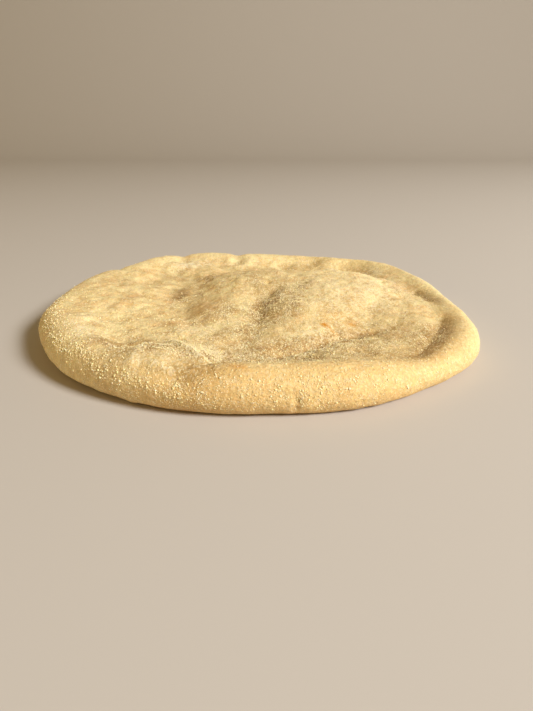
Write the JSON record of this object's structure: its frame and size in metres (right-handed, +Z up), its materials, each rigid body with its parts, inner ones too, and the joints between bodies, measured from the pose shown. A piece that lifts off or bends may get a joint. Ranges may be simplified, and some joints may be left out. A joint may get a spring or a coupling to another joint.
{
  "type": "pizza base",
  "caption": "Par-baked pizza base: a flat round of pale dough with a puffed uneven rim and a blistered raised middle, dusted with semolina.",
  "frame": {"origin": "centre of the flat underside, at the middle of the base's length and width", "axes": "+Z up out of the top of the base, -Y towards the front of the base as pictured, +X to the right"},
  "size_m": [0.2368, 0.232, 0.0242],
  "materials": {
    "baked_dough": "dry, matte baked dough, pale cream to light tan, floury in its hollows",
    "semolina": "hard, slightly glassy pale yellow grains"
  },
  "bodies": {
    "root": {"pizza_base": "baked_dough"}
  },
  "joints": []
}
